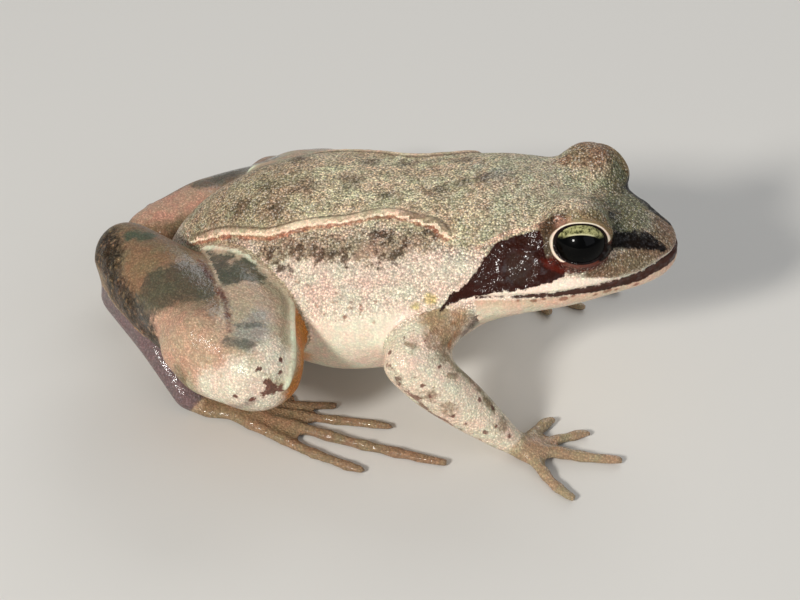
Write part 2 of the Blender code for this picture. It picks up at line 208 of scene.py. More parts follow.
eyeOpening = {"halfLength": 3.05, "halfAbove": 2.3, "halfBelow": 2.35, "tiltUp": 24.0, "turnAhead": 12.0,
              "ball": 3.4, "setForward": 0.3, "setDown": 0.45}  # mm; the last two from the solid's middle
jointPlaces = {  # first, middle and last joint of a folded limb, y as the distance from the midline
    "leg": {"right": [(-17.0, 5.0, 13.6), (-9.0, 23.2, 13.4), (-29.4, 6.2, 14.2)],
            "left": [(-17.8, 5.0, 13.6), (-12.4, 23.4, 8.4), (-31.0, 8.0, 7.0)]},
    "arm": {"right": [(10.7, 9.5, 16.0), (7.2, 17.6, 13.0), (18.4, 15.6, 2.4)],
            "left": [(10.2, 9.5, 15.6), (4.2, 17.2, 11.6), (13.4, 18.6, 2.4)]},
}


def limbFrame(joints):  # middle joint, and axes along, across and out of the plane of the fold
    first, centre, last = [np.array(place) for place in joints]
    along = (last - centre) / np.linalg.norm(last - centre)
    out = np.cross(along, first - centre)
    out /= np.linalg.norm(out)
    return centre, np.stack([along, np.cross(out, along), out])


def onSide(place, limb, side):  # a place of the right limb's lists, on the limb of either side
    centre, axes = limbFrame(jointPlaces[limb]["right"])
    newCentre, newAxes = limbFrame(jointPlaces[limb][side])
    return (newCentre + (np.array(place) - centre) @ axes.T @ newAxes) * (1, sides[side], 1)


def eyeAxes(side):  # forward, up and outward for an eye
    way = sides[side]
    rise, turn = math.radians(eyeOpening["tiltUp"]), math.radians(eyeOpening["turnAhead"])
    forward = np.array([math.cos(turn), -way * math.sin(turn), 0.0])
    level = np.array([math.sin(turn), way * math.cos(turn), 0.0])
    up = np.array([0.0, 0.0, math.cos(rise)]) - level * math.sin(rise)
    outward = np.array([0.0, 0.0, math.sin(rise)]) + level * math.cos(rise)
    return forward, up, outward


def eyeCentre(side):
    forward, up, outward = eyeAxes(side)
    return middle("eye_" + side) + eyeOpening["setForward"] * forward - eyeOpening["setDown"] * up


def eyePlaces(points, side):  # places seen along an eye's own axes
    offset = points - eyeCentre(side)
    return np.stack([offset @ axis for axis in eyeAxes(side)], axis=1)


# Skin: one mesh over every node of flesh.

skinShape = {
    "closeGap": 0.25,    # mm each node swells so that the cuts between them close
    "voxel": 0.44,       # mm between the skin's points
    "closedLids": 3.75,  # mm, radius of the lids over each eyeball before they are opened
    "kneeFlesh": [(-12.9, 22.8, 15.2, 3.3), (-13.0, 23.6, 12.8, 3.5), (-15.0, 22.2, 12.9, 3.9),
                  (-17.2, 20.6, 13.6, 3.8), (-15.4, 21.4, 15.4, 4.0)],  # mm, rounds the calf beside the knee
    "fairing": 45,       # rounds that melt the flat faces of the solids
    "crease": (0.02, 0.06, 0.9),   # mm of hollow where a crease begins and is full, and how firmly it is kept
    "eyeRegion": (4.4, 5.4, 0.25),  # mm from an eye's middle that stay sharper, and how much they melt
    "firmness": {"trunk": 1.0, "head": 0.7, "lower_jaw": 0.9, "ear": 1.0, "upper_arm": 0.9,
                 "forearm": 0.8, "hand": 0.05, "thigh": 1.0, "shank": 1.0, "tarsus": 0.4, "foot": 0.05},
}
fleshNodes = [name for name in frame["nodes"] if not name.startswith("eye")]


def baseName(node):
    return node.replace("_left", "").replace("_right", "")


def joinFlesh():
    bpy.ops.object.select_all(action="DESELECT")
    for name in fleshNodes:
        twin = bpy.data.objects.new("flesh", frame["nodes"][name].data.copy())
        bpy.context.scene.collection.objects.link(twin)
        twin.select_set(True)
        bpy.context.view_layer.objects.active = twin
    balls = [(*eyeCentre(side), skinShape["closedLids"]) for side in sides]
    for side in sides:
        balls += [(*onSide(ball[:3], "leg", side), ball[3]) for ball in skinShape["kneeFlesh"]]
    parts = list(bpy.context.selected_objects)
    for px, py, pz, radius in balls:
        bpy.ops.mesh.primitive_uv_sphere_add(segments=48, ring_count=24, radius=radius * mm,
                                             location=(px * mm, py * mm, pz * mm))
        bpy.ops.object.transform_apply(location=True, rotation=True, scale=True)
        parts.append(bpy.context.object)
    for part in parts:
        part.select_set(True)
    bpy.ops.object.join()
    skin = bpy.context.object
    skin.name = skin.data.name = "skin"
    bpy.ops.object.mode_set(mode="EDIT")
    bpy.ops.mesh.select_all(action="SELECT")
    bpy.ops.mesh.remove_doubles(threshold=0.00001)
    bpy.ops.object.mode_set(mode="OBJECT")
    applyModifier(skin, "DISPLACE", strength=skinShape["closeGap"] * mm, mid_level=0.0)
    applyModifier(skin, "REMESH", mode="VOXEL", voxel_size=skinShape["voxel"] * mm)
    applyModifier(skin, "DISPLACE", strength=-skinShape["closeGap"] * mm, mid_level=0.0)
    return skin


def dropLooseBits(skin):  # keeps what hangs together with the highest point of the back
    heights = readPoints(skin)[:, 2]
    selectParts(skin, points=np.arange(len(heights)) == np.argmax(heights))
    bpy.ops.object.mode_set(mode="EDIT")
    bpy.ops.mesh.select_mode(type="VERT")
    bpy.ops.mesh.select_linked()
    bpy.ops.mesh.select_all(action="INVERT")
    bpy.ops.mesh.delete(type="VERT")
    bpy.ops.object.mode_set(mode="OBJECT")


def nearestNodes(points):  # number of the flesh node under each point
    places, faces, owners = [], [], []
    for index, name in enumerate(fleshNodes):
        mesh = frame["nodes"][name].data
        start = len(places)
        places += [vertex.co.copy() for vertex in mesh.vertices]
        faces += [[start + i for i in face.vertices] for face in mesh.polygons]
        owners += [index] * len(mesh.polygons)
    tree = BVHTree.FromPolygons(places, faces)
    return np.array([owners[tree.find_nearest(Vector(place))[2]] for place in points * mm])


def spreadWeighted(skin, points, rounds, weight):
    for _ in range(rounds):
        points = points + (spread(skin, points, 1, 1.0) - points) * 0.5 * weight[:, None]
    return points


def fairSkin(skin):  # melts flat faces and keeps creases, lids and thin fingers
    table = np.array([skinShape["firmness"][baseName(name)] for name in fleshNodes])
    weight = spread(skin, table[nearestNodes(readPoints(skin))], 8)
    points = readPoints(skin)
    points = points + (spread(skin, points, 5) - points) * weight[:, None]
    writePoints(skin, points)
    hollow = np.einsum("ij,ij->i", spread(skin, points, 1, 1.0) - points, readNormals(skin))
    begins, full, kept = skinShape["crease"]
    weight *= 1 - kept * np.clip(1.6 * spread(skin, ease(hollow, begins, full), 3), 0, 1)
    near, far, melts = skinShape["eyeRegion"]
    eyes = np.min([np.linalg.norm(points - eyeCentre(side), axis=1) for side in sides], axis=0)
    weight *= melts + (1 - melts) * ease(eyes, near, far)
    smooth = spreadWeighted(skin, points, skinShape["fairing"], weight)
    lost = spreadWeighted(skin, points - smooth, skinShape["fairing"], weight)  # gives roundness back
    writePoints(skin, smooth + lost)


def subdivideHead(skin):  # halves the spacing of the points on the head
    fine = np.isin([baseName(name) for name in fleshNodes], ["head", "lower_jaw", "ear"])
    chosen = fine[nearestNodes(readPoints(skin))]
    selectParts(skin, faces=np.array([all(chosen[i] for i in face.vertices) for face in skin.data.polygons]))
    bpy.ops.object.mode_set(mode="EDIT")
    bpy.ops.mesh.select_mode(type="FACE")
    bpy.ops.mesh.subdivide(number_cuts=1)
    bpy.ops.object.mode_set(mode="OBJECT")
    owner = nearestNodes(readPoints(skin))
    weight = spread(skin, fine[owner].astype(float), 3) * 0.8
    points = readPoints(skin)
    writePoints(skin, points + (spread(skin, points, 3) - points) * weight[:, None])
    return owner


skin = joinFlesh()
dropLooseBits(skin)
fairSkin(skin)
owner = subdivideHead(skin)
print("skin", len(skin.data.vertices), "points")

# Sculpting: eyelids, eardrums, folds, lips, nostrils, knuckles.

lidShape = {"edge": 0.16, "slope": 0.3, "tuckedIn": 0.7}  # mm over the eyeball, mm per mm, mm under the edge
eardrumShape = {"tiltUp": 26.0, "sunk": 0.2, "floor": 1.5, "edge": 2.0}  # degrees, then mm
relief = {  # waves of the skin beside a feature: height, where the crest lies and half the width, in mm
    "lidEdge": [(0.13, 0.25, 0.2)], "upperLid": [(-0.12, 0.8, 0.25)],
    "lowerLid": [(0.16, 1.5, 0.3), (-0.16, 0.95, 0.25)],
    "eardrum": [(0.1, 2.25, 0.32)], "earFold": [(0.22, 0.0, 0.6)], "snoutRidge": [(0.2, 0.0, 0.55)],
    "nostril": [(0.12, 0.55, 0.25), (-0.4, 0.0, 0.32)],
    "mouth": [(-0.34, 0.0, 0.2), (0.16, 0.6, 0.35), (-0.1, -0.9, 0.5)],
    "backFold": [(0.42, 0.0, 0.5)], "wrinkle": [(0.1, 0.5, 0.3), (-0.2, 0.0, 0.26)],
    "thighCrest": [(0.3, 0.0, 0.4), (-0.15, 1.0, 0.4)], "knuckle": [(0.1, 0.0, 0.7)],
}
foldLine = [(-21.8, 4.6, 16.8), (-17.3, 6.3, 19.7), (-13.8, 7.6, 21.0), (-11.8, 8.3, 21.6),
    (-10.0, 8.4, 22.3), (-7.1, 8.0, 23.4), (-2.0, 7.3, 24.3), (0.8, 6.4, 24.9), (3.0, 6.2, 25.2),
    (5.2, 6.7, 25.2), (8.2, 7.6, 25.4), (9.8, 8.9, 24.9)]
earFold = [(20.4, 7.9, 27.0), (18.9, 7.9, 26.4), (16.2, 8.8, 25.7), (14.1, 10.2, 24.5), (12.6, 11.8, 22.4),
    (10.6, 13.0, 19.4)]
snoutRidge = [(27.8, 6.4, 26.4), (28.6, 5.2, 25.5), (29.8, 4.3, 24.9), (31.9, 3.4, 24.0), (33.6, 2.9, 22.9)]
mouthLine = [(11.0, 18.9), (14.4, 19.35), (18.8, 19.85), (22.8, 20.15), (27.3, 20.45), (31.4, 20.95),
    (33.6, 21.5), (35.2, 21.4)]
nostril = (30.8, 4.7, 23.9)
wristsAndAnkles = {"hand_left": (13.4, 18.6, 2.4), "hand_right": (18.4, -15.6, 2.4),
                   "foot_left": (-19.8, 15.0, 2.0), "foot_right": (-19.6, -15.4, 2.0)}
knuckles = {"hand": (3.9, 6.6, 9.0), "foot": (8.5, 13.0, 17.5, 22.0, 26.0)}  # mm from the wrist or ankle
wrinkles = [[(-5.1, 13.7, 18.1), (-1.6, 13.5, 19.6), (3.0, 13.2, 20.3), (7.5, 12.6, 20.9)],
            [(-2.5, 14.5, 18.1), (3.2, 14.1, 19.1), (6.5, 13.4, 19.9)],
            [(12.0, 13.2, 17.6), (12.2, 12.6, 19.4)], [(12.4, 13.0, 17.0), (13.8, 12.2, 17.6)],
            [(12.6, 13.0, 16.4), (14.2, 12.3, 16.4)]]
thighCrest = [(-21.4, 5.5, 16.2), (-18.2, 7.6, 18.1), (-14.6, 9.4, 19.2), (-10.3, 11.9, 18.5),
    (-7.6, 13.9, 17.0), (-6.2, 17.6, 16.8), (-5.2, 21.1, 16.4), (-4.6, 24.0, 15.4), (-4.8, 25.9, 13.6)]
warts = {"line": [(-31.9, 8.1, 16.9), (-30.2, 10.6, 16.6), (-29.4, 12.4, 15.2), (-28.1, 14.3, 14.6),
                  (-26.2, 16.3, 14.2), (-22.6, 18.7, 12.2)],
         "count": 110, "spread": 1.92, "width": 0.75, "rise": 0.3, "seed": 7}


def waves(name, distance):  # the relief at some distances from its feature
    return sum(height * hump(distance - crest, width) for height, crest, width in relief[name])


def shareOf(*nodes):  # how far each point belongs to some nodes, from 0 to 1
    return np.clip(sum(nodeShare[node] for node in nodes), 0, 1)


def twinPlaces(points):  # every place as it would be on the side that the lists describe
    places = np.array(points)
    places[:, 1] = np.abs(places[:, 1])
    for limb, nodes in (("leg", ("thigh_left", "shank_left")), ("arm", ("upper_arm_left", "forearm_left"))):
        centre, axes = limbFrame(jointPlaces[limb]["left"])
        newCentre, newAxes = limbFrame(jointPlaces[limb]["right"])
        moved = newCentre + (places - centre) @ axes.T @ newAxes
        share = shareOf(*nodes)[:, None]
        places = places * (1 - share) + moved * share
    return places


def rimDistance(places):  # mm from the edge of the lids, less than 0 over the eyeball
    above = ease(places[:, 1], -0.6, 0.6)
    halfHeight = eyeOpening["halfBelow"] + (eyeOpening["halfAbove"] - eyeOpening["halfBelow"]) * above
    u, v = np.abs(places[:, 0]) / eyeOpening["halfLength"], np.abs(places[:, 1]) / halfHeight
    return ((u ** 2.2 + v ** 2.2) ** (1 / 2.2) - 1) * (eyeOpening["halfLength"] + halfHeight) / 2


def shapeLids(points):  # opens the closed lids, and rolls their edges
    for side in sides:
        places = eyePlaces(points, side)
        radius = np.maximum(np.linalg.norm(places, axis=1), 0.1)
        rim = rimDistance(places)
        near = ease(places[:, 2], 0.1, 0.9) * (1 - ease(rim, 1.2, 2.8)) * (1 - ease(radius, 5.0, 6.0))
        below = ease(-places[:, 1], -0.5, 1.0)
        wanted = eyeOpening["ball"] + lidShape["edge"] + lidShape["slope"] * np.clip(rim, 0, 3)
        wanted += waves("lidEdge", rim)
        wanted += below * waves("lowerLid", rim) + (1 - below) * waves("upperLid", rim)
        lid = np.where(rim > 0.6, np.maximum(radius, wanted), wanted)
        wanted = wanted + (lid - wanted) * ease(rim, 0.6, 1.4)
        wanted -= lidShape["tuckedIn"] * (1 - ease(rim, -0.32, 0.02))
        scale = 1 + near * (wanted / radius - 1)
        points = eyeCentre(side) + (points - eyeCentre(side)) * scale[:, None]
    return points


def eardrumDistance(points):  # mm from the middle of the nearer eardrum, across it
    best = np.full(len(points), 1e9)
    tilt = math.radians(eardrumShape["tiltUp"])
    for side, way in sides.items():
        offset = points - middle("ear_" + side)
        axis = np.array([0.0, way * math.cos(tilt), math.sin(tilt)])
        depth = offset @ axis
        across = np.linalg.norm(offset - depth[:, None] * axis, axis=1)
        best = np.minimum(best, np.where(np.abs(depth) < 2.5, across, 1e9))
    return best


def sculptHead(points, normals, onHead):
    mirrored = np.array(points)
    mirrored[:, 1] = np.abs(mirrored[:, 1])
    ear = eardrumDistance(points)
    rise = waves("eardrum", ear)
    rise -= eardrumShape["sunk"] * (1 - ease(ear, eardrumShape["floor"], eardrumShape["edge"]))
    rise += waves("earFold", distanceToCurve(mirrored, earFold))
    rise += waves("snoutRidge", distanceToCurve(mirrored, snoutRidge))
    rise += waves("nostril", np.linalg.norm(mirrored - nostril, axis=1))
    lip = points[:, 2] - heightAt(points[:, 0], mouthLine)
    rise += waves("mouth", lip) * ease(points[:, 0], 12.0, 14.5) * onHead
    return points + normals * (rise * onHead)[:, None]


def wartLumps(places):  # heights from 0 to 1.2 of lumps strewn along the heel
    chance = np.random.default_rng(warts["seed"])
    along = curveThrough(warts["line"], 12)
    seats = along[chance.integers(0, len(along), warts["count"])]
    seats = seats + chance.normal(0, warts["spread"], seats.shape)
    lump = np.zeros(len(places))
    for seat, size in zip(seats, chance.uniform(0.6, 1.2, len(seats))):
        lump = np.maximum(lump, size * hump(np.linalg.norm(places - seat, axis=1), warts["width"] * size))
    return lump


def sculptBody(points, normals, onTrunk):
    places = twinPlaces(points)
    rise = waves("backFold", distanceToCurve(places, foldLine)) * onTrunk
    for line in wrinkles:
        rise += waves("wrinkle", distanceToCurve(places, line)) * onTrunk
    crest = waves("thighCrest", distanceToCurve(places, thighCrest))
    rise += crest * shareOf("thigh") + warts["rise"] * wartLumps(places) * shareOf("shank")
    tips = np.zeros(len(points))
    for name, place in wristsAndAnkles.items():
        share = nodeShare[name]
        reach = np.linalg.norm(points - place, axis=1)
        rise += (sum(waves("knuckle", reach - joint) for joint in knuckles[baseName(name)]) - 0.05) * share
        facing = np.einsum("ij,ij->i", normals, points - place) / np.maximum(reach, 0.1)
        tips += ease(facing, 0.6, 0.9) * share * ease(reach, 3.0, 4.0)
    points = points + normals * rise[:, None]
    rounded = np.clip(spread(skin, tips, 10) * 3, 0, 1)  # blunts the cut ends of fingers and toes
    return points + (spread(skin, points, 6) - points) * rounded[:, None]


nodeShare = {}
for name in fleshNodes:
    base = baseName(name)
    mine = (owner == fleshNodes.index(name)).astype(float)
    nodeShare[name] = spread(skin, mine, 8)
    nodeShare[base] = nodeShare.get(base, 0) + (nodeShare[name] if base != name else 0)
headShare = shareOf("head", "lower_jaw", "ear")
trunkAndHead = np.clip(nodeShare["trunk"] + headShare, 0, 1)
points = shapeLids(readPoints(skin))
writePoints(skin, points)
points = sculptHead(points, readNormals(skin), headShare)
writePoints(skin, points)
points = sculptBody(points, readNormals(skin), trunkAndHead)
low, high = [np.array(corner) / mm for corner in cadBounds]
points = np.clip(points, low, high)
writePoints(skin, points)
skin.data.shade_smooth()
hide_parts(*fleshNodes)
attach(skin, "root")
print("sculpted")

# Markings: each is a field over the skin that holds the mm to the marking's edge, less than 0 inside.

def only(field, share):  # keeps a marking on its own part
    return np.clip(field, -6, 6) + 14 * (1 - ease(share, 0.3, 0.7))


def onPart(*nodes):  # the whole of some nodes, as a marking
    return 2.0 - 4.0 * shareOf(*nodes)


def ribbon(line, halfWidth):
    return distanceToCurve(places, line) - halfWidth


def blobs(*balls):
    return distanceToBlobs(places, balls)


places = twinPlaces(points)
x, y, z = places.T
trunk, head = nodeShare["trunk"], headShare
thigh, shank = nodeShare["thigh"], nodeShare["shank"]
farShank = nodeShare["shank_left"]
leg, arm = shareOf("thigh", "shank"), shareOf("upper_arm", "forearm")
digits = shareOf("hand", "foot", "tarsus")
foldDistance = distanceToCurve(places, foldLine)
foldHeight = heightAt(x, [(px, pz) for px, _, pz in foldLine])
lip = z - heightAt(x, mouthLine)
ear = eardrumDistance(points)
onLeft = points[:, 1] > 0
eyeU, eyeV, eyeW = np.where(onLeft[:, None], eyePlaces(points, "left"), eyePlaces(points, "right")).T
rim = np.where(eyeW > 0.3, rimDistance(np.stack([eyeU, eyeV, eyeW], axis=1)), 8.0)

fields = {
    # Back and flanks.
    "rump": only(x + 9.0, trunk),
    "headTop": only(13.0 - x, trunkAndHead),
    "snoutTop": only(25.5 - x, head),
    "flank": only(z - foldHeight + 0.9, trunkAndHead),
    "flankZone": only(ribbon([(-11.0, 10.0, 20.0), (-8.0, 10.0, 21.6), (-2.0, 10.4, 22.4), (2.5, 10.2, 23.0),
        (7.6, 8.8, 24.6)], 1.7), trunk),
    "flankDark": only(blobs((-4.6, 10.7, 21.7, 0.9), (-2.8, 11.0, 21.9, 0.8), (-1.6, 11.2, 21.9, 0.8),
        (1.4, 9.0, 23.7, 0.7), (3.0, 9.4, 23.5, 0.8), (4.2, 10.9, 22.6, 0.8), (2.5, 11.3, 22.2, 0.7),
        (5.0, 9.3, 23.8, 0.7), (7.9, 8.6, 24.8, 0.5), (-10.8, 10.0, 20.2, 0.9), (-8.9, 11.6, 19.1, 0.8),
        (-7.4, 10.2, 21.2, 0.8), (-15.6, 7.4, 18.8, 0.9)), trunk),
    "belly": only(z - heightAt(x, [(-24, 9.0), (-12, 12.5), (-6, 16.0), (0, 17.6), (7, 19.2), (12, 17.2),
        (16, 16.8)]), shareOf("trunk", "lower_jaw")),
    "bellySpeck": 0.5 + 4 * ease(np.abs(z - 17.2), 1.6, 2.8) + 8 * (1 - trunk),
    "bellySpot": only(blobs((-0.5, 15.6, 16.6, 0.3), (1.3, 15.8, 16.6, 0.25), (1.2, 15.2, 17.6, 0.25),
        (2.7, 15.7, 16.4, 0.3)), trunk),
    "shoulderPale": blobs((8.6, 13.4, 20.2, 1.8), (6.0, 14.4, 19.2, 1.4)),
    "backBlotch": only(distanceToBlobs(points, [(-8.4, -3.0, 25.1, 1.4), (-3.1, -1.4, 25.6, 1.3),
        (7.5, -2.8, 26.5, 1.2), (10.1, -1.1, 27.2, 1.1), (12.4, -0.6, 27.9, 1.0), (-10.9, -6.2, 23.6, 1.1),
        (-15.9, -4.6, 22.2, 1.3), (-1.9, 3.3, 25.4, 1.2), (-13.0, -2.4, 23.6, 1.0), (-10.4, 3.4, 24.2, 1.3),
        (2.4, 3.6, 25.7, 1.0), (9.0, 4.4, 26.8, 1.2), (-15.0, 3.5, 22.2, 1.1), (1.6, -3.6, 25.9, 0.7)]),
        trunkAndHead),
    "backGrey": only(distanceToBlobs(points, [(13.9, 0.0, 28.0, 1.6), (11.0, 2.2, 27.4, 1.0)]), trunkAndHead),
    "groin": blobs((-6.8, 14.8, 14.0, 1.6), (-8.4, 13.0, 9.6, 3.2), (-12.0, 9.5, 8.4, 3.4),
        (-6.5, 17.5, 13.0, 2.0)),
    # dark red painted shadow in the gap between the shanks and the rump
    "crotch": blobs((-23.6, 3.4, 12.6, 2.6), (-26.0, 4.6, 14.0, 1.4)),
    # the wrinkle lines are painted darker: painted shade in their grooves
    "wrinkle": np.min([distanceToCurve(places, line) for line in wrinkles], axis=0) + 9 * (1 - trunk),
    "fold": foldDistance * np.where(z > foldHeight, 1, -1),
    "foldMask": onPart("trunk"),
    # Arms and hands.
    "armSkin": onPart("upper_arm", "forearm"),
    "armTop": only(blobs((9.8, 15.0, 17.5, 1.8), (11.1, 15.5, 16.0, 1.5), (11.7, 15.3, 14.5, 1.0),
        (10.1, 13.6, 18.2, 1.4), (7.9, 14.2, 18.0, 1.2)), arm),
    "armWet": only(blobs((8.0, 19.4, 14.4, 1.0), (11.0, 19.6, 10.6, 1.2), (13.0, 18.6, 8.8, 1.0)), arm),
    "armInner": only(ribbon([(10.8, 16.4, 13.7), (14.8, 16.3, 9.9), (16.9, 16.5, 7.3)], 0.45), arm),
    "armpit": blobs((12.2, 13.2, 16.8, 1.2), (12.0, 14.0, 15.2, 0.9)),
    # painted shadow: a near-black patch in the hollow between the arm and the throat
    "armpitDark": blobs((14.2, 12.0, 16.2, 1.0), (13.3, 12.0, 15.2, 0.9), (12.9, 12.6, 14.2, 0.7)),
    "armBlotch": only(blobs((13.9, 15.3, 10.4, 1.0), (15.2, 15.8, 9.0, 0.9), (16.4, 16.2, 7.8, 1.0),
        (18.2, 16.8, 5.2, 0.9), (9.6, 16.9, 16.1, 1.0), (10.8, 16.6, 14.6, 1.0), (10.4, 20.1, 10.6, 0.8),
        (12.2, 19.6, 8.6, 0.8), (12.4, 18.0, 11.6, 0.7), (7.7, 18.2, 15.6, 0.5)), arm),
    "armCrease": only(blobs((11.9, 15.4, 14.4, 0.5), (12.2, 15.0, 13.8, 0.4)), arm),
    "armEdge": only(ribbon([(5.3, 19.6, 13.8), (6.2, 20.4, 13.4), (6.8, 20.2, 11.6), (8.0, 20.2, 10.4),
        (8.8, 20.1, 9.7), (10.1, 19.3, 7.5), (11.5, 19.1, 6.6), (14.4, 18.6, 4.0), (17.7, 17.2, 1.5)], 0.35),
        arm),
    "armSpots": only(blobs((6.7, 17.4, 16.2, 0.3), (5.4, 18.6, 14.6, 0.3), (9.1, 17.5, 16.0, 0.28),
        (11.0, 18.4, 13.5, 0.32), (8.5, 20.4, 13.0, 0.3), (9.5, 20.3, 12.0, 0.34), (10.2, 20.3, 10.5, 0.28),
        (12.8, 18.9, 11.3, 0.26), (14.8, 16.3, 9.9, 0.3), (15.5, 17.4, 8.8, 0.3), (16.9, 16.5, 7.3, 0.34),
        (14.2, 19.1, 6.4, 0.3), (16.4, 18.4, 4.9, 0.32), (17.7, 17.5, 5.4, 0.26), (12.9, 19.6, 7.5, 0.28),
        (19.0, 17.0, 3.8, 0.34), (20.2, 17.5, 2.0, 0.36), (10.8, 16.4, 13.7, 0.26)), arm),
    "armpitYellow": blobs((8.9, 13.5, 19.0, 0.7), (7.4, 14.3, 18.4, 0.5)),
    "handSkin": 2.0 - 4.0 * spread(skin, nodeShare["hand"], 50),
    # Legs and feet.
    "thighSkin": onPart("thigh"),
    "shankSkin": onPart("shank"),
    "thighFront": only(ribbon([(-10.4, 10.2, 14.6), (-7.2, 14.0, 14.6), (-5.2, 17.7, 14.6),
        (-4.2, 20.6, 13.2), (-3.9, 24.2, 12.2)], 2.1), leg),
    "legBelow": only(np.maximum(z - 10.2, y - 24.0), leg),
    "heelWarm": only(blobs((-25.6, 12.8, 18.9, 2.6), (-22.8, 12.1, 19.7, 2.2), (-25.5, 15.5, 17.3, 2.2)),
        shank),
    "shankMid": only(ribbon([(-22.6, 19.6, 13.4), (-18.8, 21.7, 14.8), (-16.0, 22.6, 16.0),
        (-13.4, 24.6, 15.0)], 3.5), leg),
    "shankBar": only(blobs((-19.0, 16.0, 19.2, 3.3), (-17.0, 16.9, 19.2, 2.2), (-21.8, 16.8, 18.0, 2.7),
        (-23.2, 17.4, 16.2, 1.9), (-23.4, 18.0, 15.0, 1.2)), shank),
    "heelGreen": only(blobs((-28.0, 8.2, 18.9, 1.1), (-26.2, 8.3, 19.1, 1.2)), shank),
    "warts": only(ribbon(warts["line"], 2.1), shank),
    "thighBar": only(blobs((-14.2, 13.9, 19.3, 2.0), (-16.2, 12.9, 18.9, 1.8), (-18.0, 10.4, 18.0, 1.2),
        (-13.4, 11.9, 19.4, 1.6), (-11.6, 13.6, 18.9, 1.3), (-16.4, 10.6, 18.9, 1.4),
        (-18.8, 9.0, 18.0, 1.0)), thigh),
    "thighBlue": only(blobs((-9.5, 23.0, 18.0, 2.0), (-9.4, 20.4, 18.2, 1.3)), thigh),
    "thighStreak": only(np.minimum(ribbon([(-11.1, 22.3, 18.4), (-8.5, 21.5, 18.4)], 0.35),
        ribbon([(-12.0, 24.2, 17.4), (-9.0, 24.8, 17.8)], 0.7)), thigh),
    "thighRim": only(ribbon(thighCrest, 0.42), leg),
    "kneeCream": only(blobs((-9.5, 27.0, 14.2, 3.2), (-6.6, 24.6, 16.2, 2.2), (-12.6, 26.4, 12.8, 2.4),
        (-7.4, 26.6, 12.4, 2.2)), leg),
    "kneeShade": only(ribbon([(-8.3, 27.6, 12.4), (-9.4, 27.9, 11.4), (-10.8, 27.0, 10.6)], 0.5), leg),
    "kneePatch": only(blobs((-6.6, 26.9, 14.8, 0.45), (-6.2, 26.7, 13.8, 0.75), (-5.2, 26.1, 13.6, 0.6),
        (-7.2, 27.1, 13.2, 0.5), (-8.3, 27.6, 12.6, 0.3), (-7.7, 26.8, 16.3, 0.3), (-5.6, 24.9, 16.5, 0.28),
        (-5.3, 25.7, 15.4, 0.3), (-9.2, 28.0, 14.8, 0.2), (-10.1, 28.1, 13.1, 0.4), (-18.4, 20.8, 16.9, 0.3)),
        leg),
    # the crease between thigh and shank: reddish skin, darkened with painted shade
    "legCrease": only(ribbon([(-18.9, 11.3, 18.6), (-17.1, 14.0, 19.1), (-15.7, 15.7, 18.6),
        (-14.3, 17.8, 18.9), (-13.2, 19.8, 18.8), (-12.5, 21.5, 18.4), (-11.9, 23.1, 17.9)], 0.4), leg),
    "farPink": only(distanceToCurve(points, [(-31.8, 8.5, 11.4), (-29.3, 9.2, 12.1), (-26.1, 11.5, 13.0)])
        - 2.5, farShank),
    "farOlive": only(distanceToCurve(points, [(-26.6, 13.2, 13.0), (-24.8, 13.9, 13.1), (-21.4, 17.9, 13.1)])
        - 1.2, farShank),
    "ankleSkin": onPart("tarsus"),
    "footSkin": 2.0 - 4.0 * spread(skin, nodeShare["foot"], 50),
    # Head.
    "cheek": only(np.maximum(np.maximum(lip - 3.0, 0.3 - lip), 25.5 - x), head),
    "jawSkin": only(lip + heightAt(x, [(12, 0.1), (28, 0.9), (35, 1.0)]), head * ease(x, 12.0, 14.0)),
    "throat": only(lip + heightAt(x, [(12, 1.4), (20, 2.0), (28, 1.9), (35, 1.8)]), head *
        ease(x, 11.0, 13.0)),
    "jawSpots": only(np.min([np.hypot(x - px, (lip + below) * 1.6) - size for px, below, size in
        ((18.6, 0.6, 0.3), (20.3, 0.75, 0.42), (21.4, 0.6, 0.25), (23.6, 0.95, 0.5), (24.5, 0.8, 0.35),
        (26.9, 1.3, 0.3), (28.2, 1.25, 0.5), (29.1, 1.4, 0.3), (31.2, 1.5, 0.35))], axis=0), head *
        ease(y, 2.0, 3.0)),
    "ear": only(distanceToCurve(places, [(13.6, 10.0, 24.4), (14.6, 9.6, 25.0), (16.2, 8.8, 25.8),
        (17.5, 8.3, 26.2), (18.9, 7.9, 26.5), (20.6, 7.9, 27.2)]), trunkAndHead),
    "lipPale": only(np.maximum(lip - heightAt(x, [(11, 0.3), (14.4, 0.55), (16.6, 0.85), (20.9, 1.2),
        (22.9, 1.5), (24.5, 1.5), (26.1, 1.25), (27.5, 0.85), (29, 0.45), (31, 0.3), (35.2, 0.25)]), -lip -
        0.3), ease(x, 10.5, 12.0)),
    # dark band along the upper lip: its dark skin together with the painted shadow of the mouth slit
    "mouthBand": only(np.maximum(lip, -lip - heightAt(x, [(13, 0.1), (17, 0.22), (21, 0.38), (24, 0.55),
        (27.4, 0.95), (31.5, 1.1), (35, 1.05)])), head * ease(x, 12.0, 13.5)),
    "lidBrown": only(distanceToBlobs(points, [(23.6, 5.6, 29.6, 2.8), (21.6, 4.6, 28.0, 1.4)]), head),
    "lidTan": np.maximum(rim - 1.5, 0.6 - eyeV),
    "lidBand": np.maximum(rim - 1.6, eyeU + 1.6),
    # pale pink patch behind the upper lid: skin colour with a painted highlight
    "lidPink": blobs((22.3, 8.6, 28.2, 0.7), (23.4, 8.6, 28.9, 0.5)),
    "mask": only(distanceToOutline(places, [(10.0, 17.8), (11.0, 19.3), (12.4, 20.6), (13.0, 21.3),
        (13.6, 22.2), (14.1, 23.2), (15.3, 24.7), (17.0, 25.6), (18.1, 25.7), (19.8, 26.4), (20.6, 26.0),
        (20.9, 24.8), (21.5, 23.8), (23.4, 22.8), (23.2, 21.8), (21.9, 21.4), (20.9, 21.1), (19.3, 20.8),
